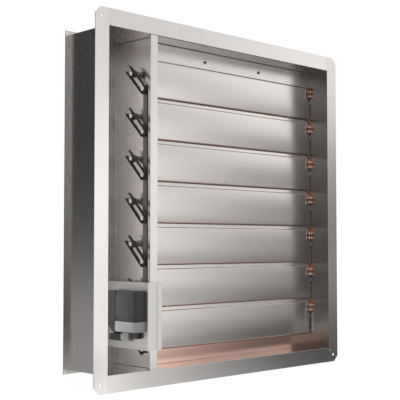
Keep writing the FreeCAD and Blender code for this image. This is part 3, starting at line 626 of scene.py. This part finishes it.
def make_lever(name):
    lever = bar(name, (0, -HUB_HALF, -LEVER_HALF), (LEVER_THICK, HUB_HALF, LEVER_HALF))
    edit(lever)
    for half in (-ARM_INSIDE, ARM_INSIDE, -RIM_INSIDE, RIM_INSIDE):
        bpy.ops.mesh.select_all(action="SELECT")
        bpy.ops.mesh.bisect(plane_co=metres(0, 0, half), plane_no=(0, 0, 1))
    choose(lever, "FACE", lambda face: face.normal.y < -0.9 and off_middle(face) > ARM_INSIDE + 0.1)
    pull(0, -TAIL, 0)
    choose(lever, "FACE", lambda face: face.normal.y > 0.9 and off_middle(face) > ARM_INSIDE + 0.1)
    pull(0, ARM, 0)
    pull(0, NOSE, 0)
    nose_start = (HUB_HALF + ARM + 1) / 1000
    choose(lever, "FACE", lambda face: abs(face.normal.z) > 0.9 and off_middle(face) < ARM_INSIDE + 0.1
           and face.calc_center_median().y > nose_start)
    bpy.ops.mesh.bridge_edge_loops()
    choose(lever, "FACE", lambda face: face.normal.x < -0.9 and off_middle(face) > RIM_INSIDE + 0.1)
    pull(-RIM, 0, 0)
    bpy.ops.mesh.select_all(action="SELECT")
    bpy.ops.mesh.remove_doubles(threshold=SAME_POINT)
    bpy.ops.mesh.normals_make_consistent(inside=False)
    leave()
    soften(lever, 0.7)
    hub = turned("hub", (0, 0, 0), "X", [(-1.2, 8), (-1.2, 9.4), (0.4, 10), (LEVER_THICK, 11),
                                         (11, 11), (11, 9)], 28)
    join(name, lever, hub)
    lever.rotation_euler = (LEVER_TURN, 0, 0)
    lever.location = metres(LEVER_FACE, AXIS_DEPTH, TOP_AXIS)
    focus(lever)
    bpy.ops.object.transform_apply(location=True, rotation=True, scale=True)
    return lever


first_lever = make_lever("forked_lever_1")
for number, lever in enumerate(repeated(first_lever, "forked_lever"), 1):
    mount(lever, f"blade_body_{number}", black_steel, "black_steel", f"crank_{number}")
print("seven levers of", len(first_lever.data.polygons), "faces")

# %% [markdown]
# ## Actuator
# The actuator's cover is a dark moulding with rounded corners and a parting
# line, on a cast housing with a neck. A rounded bar gives each its main form.
# The parting line is a narrow band between two cuts that is sunk a little.

# %% Shape the cover and the housing
ACTUATOR = {"left": -394, "right": -351, "front": 10, "rear": 102,
            "top": -268, "split": -358, "waist": -389, "foot": -418}
PARTING = (-386.6, -386)


def make_cover(name):
    cover = bar(name, (ACTUATOR["left"], ACTUATOR["front"], ACTUATOR["split"]),
                (ACTUATOR["right"], ACTUATOR["rear"], ACTUATOR["top"]))
    edit(cover)
    outer_face = (ACTUATOR["left"] + 4) / 1000
    choose(cover, "EDGE", lambda edge: all(point.co.x < outer_face for point in edge.verts)
           and abs(edge.verts[0].co.z - edge.verts[1].co.z) > 0.05)
    bpy.ops.mesh.bevel(offset=0.004, segments=5, affect="EDGES")
    for place in PARTING:
        bpy.ops.mesh.select_all(action="SELECT")
        bpy.ops.mesh.bisect(plane_co=metres(place, 0, 0), plane_no=(1, 0, 0))
    middle = sum(PARTING) / 2
    choose(cover, "FACE", lambda face: abs(face.calc_center_median().x * 1000 - middle) < 0.25)
    bpy.ops.mesh.extrude_region_shrink_fatten(TRANSFORM_OT_shrink_fatten={"value": -0.0006})
    leave()
    return soften(cover, 0.8)


def make_housing(name):
    wide = bar(name, (ACTUATOR["left"], ACTUATOR["front"], ACTUATOR["waist"]),
               (ACTUATOR["right"], ACTUATOR["rear"], ACTUATOR["split"] - 0.2), 1.6, 3)
    neck = bar("neck", (-366, 72, ACTUATOR["foot"]), (ACTUATOR["right"], 110, ACTUATOR["waist"] + 2), 1.6, 3)
    rim = bar("rim", (ACTUATOR["left"] + 4, ACTUATOR["front"] + 4, ACTUATOR["split"] - 3),
              (ACTUATOR["right"], ACTUATOR["rear"] - 4, ACTUATOR["split"] + 2), 0.4)
    return join(name, wide, neck, rim)


mount(make_cover("moulded_cover"), "casing", dark_cover, "dark_cover", "actuator_cover")
mount(make_housing("cast_housing"), "casing", cast_alloy, "cast_housing", "actuator_housing")
print("cover and housing")

# %% [markdown]
# ## Bronze stops and side seals
# Beside each axis the right wall carries a small bronze stop with bright screws
# and a thin clip that tapers upwards, and folded spring strips close the slit
# between blades and walls. The screws' bright heads and the strips' dark folds
# are what shows of them at a distance. A stop is a bar with a band sunk between
# its screws; the clip is extruded from its top.

# %% Make the stops and the side seals
STOP_LEFT = 490.2
STOP_FRONT = 71.2
STOP_UP = 30
STOP_HALF = 14
BAND_HALF = 2.5
CLIP = 11
SCREW_HALF = 8.2


def make_stop(name, height):
    middle = height + STOP_UP
    top = middle + STOP_HALF
    stop = bar(name, (STOP_LEFT, STOP_FRONT, middle - STOP_HALF), (AIRWAY_RIGHT - 0.1, 82.6, top))
    edit(stop)
    for place in (middle - BAND_HALF, middle + BAND_HALF):
        bpy.ops.mesh.select_all(action="SELECT")
        bpy.ops.mesh.bisect(plane_co=metres(0, 0, place), plane_no=(0, 0, 1))
    choose(stop, "FACE", lambda face: abs(face.normal.z) < 0.1 and face.normal.x < 0.9
           and abs(face.calc_center_median().z * 1000 - middle) < 1)
    bpy.ops.mesh.extrude_region_shrink_fatten(TRANSFORM_OT_shrink_fatten={"value": -0.0016})
    choose(stop, "FACE", lambda face: face.normal.z > 0.9
           and face.calc_center_median().z * 1000 > top - 1)
    bpy.ops.mesh.inset(thickness=0.0015)
    bpy.ops.transform.translate(value=metres(1.4, 0, 0))
    pull(0, 0, CLIP)
    bpy.ops.transform.resize(value=(0.7, 0.6, 1))
    leave()
    return soften(stop, 0.7)


def make_stop_screw(name, height):
    """A domed head on the stop's front."""
    return turned(name, (STOP_LEFT + 4, STOP_FRONT - 0.2, height), "-Y",
                  [(-0.2, 2.4), (-0.2, 3.0), (0.8, 2.9), (1.5, 2.2), (1.8, 1.0)], 16)


stops = [make_stop(f"stop_{number}", height) for number, height in enumerate(heights)]
mount(join("bronze_stops", *stops), "casing", bronze, "bronze_block", "blade_stops")
screws = [make_stop_screw("screw", height + STOP_UP + side * SCREW_HALF)
          for height in heights for side in (-1, 1)]
mount(join("stop_front_screws", *screws), "casing", rivet_metal, "bright_rivets")


def make_side_seal(name, wall, side, low, high):
    """A spring strip that bulges away from its wall."""
    return folded_strip(name, "Z", low, high, [
        (wall - side * 0.4, 97.8, 0), (wall - side * 4.6, 95.5, 0.9), (wall - side * 4.6, 86.4, 0.9),
        (wall - side * 2.6, 84.2, 0.9), (wall - side * 0.5, 85.6, 0)], STRIP_THICK, 2)


SEAL_TOP = 443.8
SEAL_BOTTOM = -440.8
SEAL_FROM_AXIS = 12
uppers = [SEAL_TOP] + [height - SEAL_FROM_AXIS for height in heights]
lowers = [height + SEAL_FROM_AXIS for height in heights] + [SEAL_BOTTOM]
strips = [make_side_seal("strip", wall, side, low, high)
          for wall, side in ((AIRWAY_LEFT, -1), (AIRWAY_RIGHT, 1))
          for low, high in zip(lowers, uppers)]
strips.append(bar("strip", (-312.5, 85.2, 446), (499.5, 87.8, 457.5), 0.8))
mount(join("spring_side_seals", *strips), "casing", side_copper, "copper_strip", "side_seals")
print(len(stops), "stops,", len(screws), "screws and", len(strips), "side strips")

# %% [markdown]
# ## Joints between the sheets
# A casing of bent sheet shows where its sheets meet: a thin dark line in each
# inner corner. A modelled gap would be thinner than that line looks, so each
# line gets a slim rounded bead of dark grey, laid where the two sheets touch.
# The beads between the ceiling and the top stop and at the flange's top right
# corner are sealant in joints. The bead under the flange's inner edge and the
# one at the bracket's step are painted shade: dark strips where there is only
# shadow. The compartment's joints are grey seams and the bright fold at its
# back corner, and the top stop gets the bright hem that closes most of the slit
# above the first blade.

# %% Lay the sealant and painted shade beads
sealant_and_shade = moulding("grey_sealant_and_painted_shade", (0.14, 0.135, 0.13, 1), 0.6)
# The first and third beads are dark joints. The second and fourth are painted shade under the flange edge
# and at the bracket's step.
beads = [bar("bead", (-313, 80.2, 498.5), (498, 82.9, 499.9), 0.5),
         bar("bead", (-340, 2.1, 499.0), (498, 5.0, 499.95), 0.3),
         bar("bead", (499.3, 0.25, 500.6), (500.6, 0.9, 549.0), 0.2),
         bar("bead", (-316.6, 0.1, -442), (-315.6, 0.7, -244), 0.2)]
mount(join("ceiling_sealant_and_shade", *beads), "casing", sealant_and_shade, "dark_seal")
hem = bar("hem", (-312, 85.05, 444.1), (499, 87.2, 449), 0.8, 3)
mount(hem, "casing", casing_steel, "casing_steel")
seams = [bar("seam", (-317.4, 6, 498.0), (-315.1, 191, 499.6), 0.5),
         bar("seam", (-317.0, 6, -499.6), (-315.1, 191, -498.2), 0.5)]
mount(join("compartment_seams", *seams), "casing", bush_steel, "bush_steel")
corner_fold = bar("corner_fold", (-322.6, 190.6, -498), (-319.8, 192.9, 498), 1.0, 3)
mount(corner_fold, "casing", bracket_zinc, "casing_steel")
print(len(beads), "beads, a hem,", len(seams), "seams and a corner fold")

# %% [markdown]
# ## Rounded edges on the remaining nodes
# The casing, the stops, the shafts' ends and the small parts have the right shape
# in the CAD model. Real sheet edges are never perfectly sharp, though, and the
# thin bright line on an edge is much of how steel reads. Live weld, dissolve and
# bevel modifiers round them and leave the meshes alone.

# %% Round the edges
EDGE_RADII = {"side_panel_left": 0.85, "side_panel_right": 0.85, "top_panel": 0.85, "bottom_panel": 0.85,
              "compartment_back": 0.6, "partition": 0.85, "top_stop": 0.8, "bottom_stop": 0.8,
              "actuator_bracket": 0.7, "end_stop_plate": 0.6, "tie_bar": 0.9, "terminal_box": 1.2,
              "end_stops": 1.2, "blade_tab": 0.4, "bushes": 0.6, "cable_gland": 0.4}
for name, radius in EDGE_RADII.items():
    ease_edges(nodes[name], radius)
print(len(EDGE_RADII), "nodes with rounded edges")

# %% [markdown]
# ## Floor and room
# The damper stands on a plain pale floor in a plain white room. The white comes
# from the floor's and the room's own colour for the camera and for reflections,
# and not from more light on the damper, so nothing clips; a share of the floor's
# own shading is left, which keeps the damper's shadow.

# %% Build the floor and the room
FLOOR_HEIGHT = cad_low.z - 0.0005
ROOM_LIGHT = 0.62
FLOOR_WHITE_SHARE = 0.94


def white_where_seen(board, plain, white, share):
    """White for camera, mirrored and clear rays; the rest keeps its plain shading."""
    seen = board.node("LightPath", output=0)
    mirrored = board.node("LightPath", output=3)
    clear = board.node("LightPath", output=6)
    shown = board.maths("MAXIMUM", board.maths("MAXIMUM", seen, mirrored), clear)
    return board.node("MixShader", None, {0: shown * share, 1: plain, 2: white})


bpy.ops.object.select_all(action="DESELECT")
bpy.ops.mesh.primitive_circle_add(vertices=96, radius=16, fill_type="NGON",
                                  location=(0, 0, FLOOR_HEIGHT))
floor = bpy.context.object
floor.name = "floor"
floor_paint = bpy.data.materials.new("pale_floor")
floor_paint.use_nodes = True
board = Board(floor_paint.node_tree)
matt = board.node("BsdfDiffuse", None, {"Color": shade(0.85)})
white = board.node("Emission", None, {"Color": shade(1.0), "Strength": 1.028})
board.node("OutputMaterial", None,
           {"Surface": white_where_seen(board, matt, white, FLOOR_WHITE_SHARE)})
floor.data.materials.append(floor_paint)

world = bpy.data.worlds.new("white_room")
bpy.context.scene.world = world
world.use_nodes = True
board = Board(world.node_tree)
soft = board.node("Background", None, {"Color": shade(1.0), "Strength": ROOM_LIGHT})
white = board.node("Background", None, {"Color": shade(1.0), "Strength": 1.0})
board.node("OutputWorld", None, {"Surface": white_where_seen(board, soft, white, 1.0)})
print("floor at", round(FLOOR_HEIGHT, 4), "m")

# %% [markdown]
# ## Dim cloths around the damper
# Satin steel has no look of its own: it shows the room. In a white room its
# faces would vanish into the background, so a photographer hangs dim cloths
# just out of the picture. The photograph shows where they were: its sheets get
# dark towards the lower right, the outer side is dim, and the right wall shows
# the dark behind the camera. On each side one cloth lies on the floor and others
# hang at the end of it, and a small bright card low in the compartment gives the
# sheet below the actuator something to mirror. All are there for reflections
# alone: the camera and the floor's shading don't see them.

# %% Hang the cloths
def compass(turn, distance, height):
    """A point in the room; the turn runs from straight in front towards the right."""
    angle = math.radians(turn)
    return Vector((math.sin(angle) * distance, -math.cos(angle) * distance, height))


def around(board):
    """0 to 1 with the turn around the foot of the damper, from the front to the right."""
    return board.maths("ARCTAN2", board.spot(0) - 0.1, 0.04 - board.spot(1)) * (2 / math.pi)


def along_flange(board):
    """0 to 1 along the foot of the damper, sliding to the right with the distance."""
    return (board.spot(0) + board.spot(1) * 0.7 + 0.5) / 1.1


def upwards(board):
    """0 to 1 over the five metres above the middle of the damper."""
    return board.spot(2) / 5.0


def cloth(name, corners, level, grade=None, lift=0.0):
    """A four-cornered cloth that only reflections show: one level, or stops along a grade."""
    bpy.ops.object.select_all(action="DESELECT")
    bpy.ops.mesh.primitive_plane_add(size=1)
    piece = bpy.context.object
    piece.name = name
    for index, corner in zip((0, 1, 3, 2), corners):
        piece.data.vertices[index].co = corner + Vector((0, 0, lift))
    dim = bpy.data.materials.new(name)
    dim.use_nodes = True
    board = Board(dim.node_tree)
    colour = shade(level) if grade is None else board.node(
        "ValToRGB", {"stops": [(place, shade(value)) for place, value in level]}, {"Fac": grade(board)})
    glow = board.node("Emission", None, {"Color": colour, "Strength": 1.0})
    board.node("OutputMaterial", None, {"Surface": glow})
    piece.data.materials.append(dim)
    piece.visible_camera = False
    piece.visible_diffuse = False
    piece.visible_shadow = False
    return piece


CLOTH_HEIGHT = FLOOR_HEIGHT + 0.0004
NEAR_FLANGE = -0.004
FAR_LEVELS = [(0, 1.6), (0.18, 1.5), (0.31, 1.0), (0.42, 0.6), (0.55, 0.36), (0.63, 0.15), (0.71, 0.08)]
BEHIND_LEVELS = [(0, 0.02), (0.1, 0.03), (0.2, 0.05), (0.36, 0.16), (0.6, 0.3)]
NEAR_LEVELS = [(0.0, 1.3), (0.07, 1.1), (0.15, 0.9), (0.255, 0.74), (0.364, 0.58), (0.4545, 0.47),
               (0.545, 0.38), (0.636, 0.3), (0.727, 0.21), (0.836, 0.16), (0.955, 0.12)]
REACH = 12
HANGING_FOOT = -0.6


def hung(first, last, top):
    """The corners of a straight cloth that hangs between two turns."""
    return [compass(first, REACH, HANGING_FOOT), compass(last, REACH, HANGING_FOOT),
            compass(last, REACH, top), compass(first, REACH, top)]


cloth("graded_far_cloth",
      [Vector((-0.25, -0.5, CLOTH_HEIGHT)), Vector((-1.5, -REACH, CLOTH_HEIGHT)),
       compass(100.0, REACH, CLOTH_HEIGHT), Vector((3.0, -0.5, CLOTH_HEIGHT))], FAR_LEVELS, around)
cloth("graded_near_cloth",
      [Vector((-0.55, NEAR_FLANGE, CLOTH_HEIGHT)), Vector((-0.15, -0.5, CLOTH_HEIGHT)),
       Vector((2.5, -0.5, CLOTH_HEIGHT)), Vector((2.5, NEAR_FLANGE, CLOTH_HEIGHT))],
      NEAR_LEVELS, along_flange, 0.0002)
cloth("right_hanging_cloth",
      [compass(45.0, REACH, HANGING_FOOT), compass(90.0, REACH, HANGING_FOOT), compass(90.0, REACH, 6.0),
       compass(52.0, REACH, 0.8)], 0.16)
cloth("half_dim_hanging_cloth",
      [compass(41.0, REACH - 0.2, 0.0), compass(50.5, REACH - 0.2, 0.0), compass(50.5, REACH - 0.2, 3.6),
       compass(41.0, REACH - 0.2, 3.0)], 0.62)
cloth("camera_floor_cloth",
      [Vector((-0.05, -0.42, CLOTH_HEIGHT)), Vector((-0.90, -0.25, CLOTH_HEIGHT)),
       compass(-100.0, REACH, CLOTH_HEIGHT), compass(-14.0, REACH, CLOTH_HEIGHT)], 0.04)
cloth("camera_hanging_cloth", hung(-100.0, -43.0, 5.0), BEHIND_LEVELS, upwards)
cloth("left_hanging_cloth", hung(-43.0, -33.0, 5.0), 0.36)
cloth("compartment_card",
      [Vector((-0.4985, 0.15, -0.495)), Vector((-0.4985, 0.003, -0.495)),
       Vector((-0.4985, 0.003, -0.43)), Vector((-0.4985, 0.15, -0.43))], 0.75)
cloth("side_floor_cloth",
      [Vector((-0.53, 0.19, CLOTH_HEIGHT)), compass(-172.0, REACH, CLOTH_HEIGHT),
       compass(-100.0, REACH, CLOTH_HEIGHT), Vector((-0.56, 0.0, CLOTH_HEIGHT))], 0.40)
cloth("side_hanging_cloth", hung(-172.0, -100.0, 6.0), 0.05)
print("nine cloths and a card")

# %% [markdown]
# ## Lamps
# A large soft lamp at the front right gives the front its brightest sheen on the
# left. One beside it and one overhead keep the shadows soft, and two slim ones
# inside the compartment's left edge light its wall and the actuator. Their
# strength is low: in this light a colour renders about as it is written.

# %% Add the lamps
def soft_lamp(name, place, aim, size, power):
    """A soft lamp that faces a point; its size is in metres and its power in watts."""
    direction = Vector(aim) - Vector(place)
    bpy.ops.object.light_add(type="AREA", location=place,
                             rotation=direction.to_track_quat("-Z", "Y").to_euler())
    lamp = bpy.context.object
    lamp.name = name
    lamp.data.shape = "RECTANGLE"
    lamp.data.size, lamp.data.size_y = size
    lamp.data.energy = power
    return lamp


soft_lamp("key_lamp", compass(33.0, 5.0, 0.25), (0, 0, 0), (1.6, 1.6), 5.5)
soft_lamp("right_lamp", compass(58.0, 5.0, 1.55), (0, 0, 0), (2.2, 1.5), 6)
soft_lamp("top_lamp", (-1.2, -1.5, 3.6), (0, 0, 0), (2.5, 2.5), 25)
soft_lamp("compartment_lamp", (-0.492, 0.14, 0), (-0.39, 0.14, 0), (0.05, 0.98), 0.26)
fill = soft_lamp("actuator_lamp", (-0.492, 0.12, -0.31), (-0.39, 0.12, -0.31), (0.05, 0.26), 0.36)
fill.visible_glossy = False
print("five lamps")

# %% Set the view transform
scene = bpy.context.scene
scene.view_settings.view_transform = "Standard"
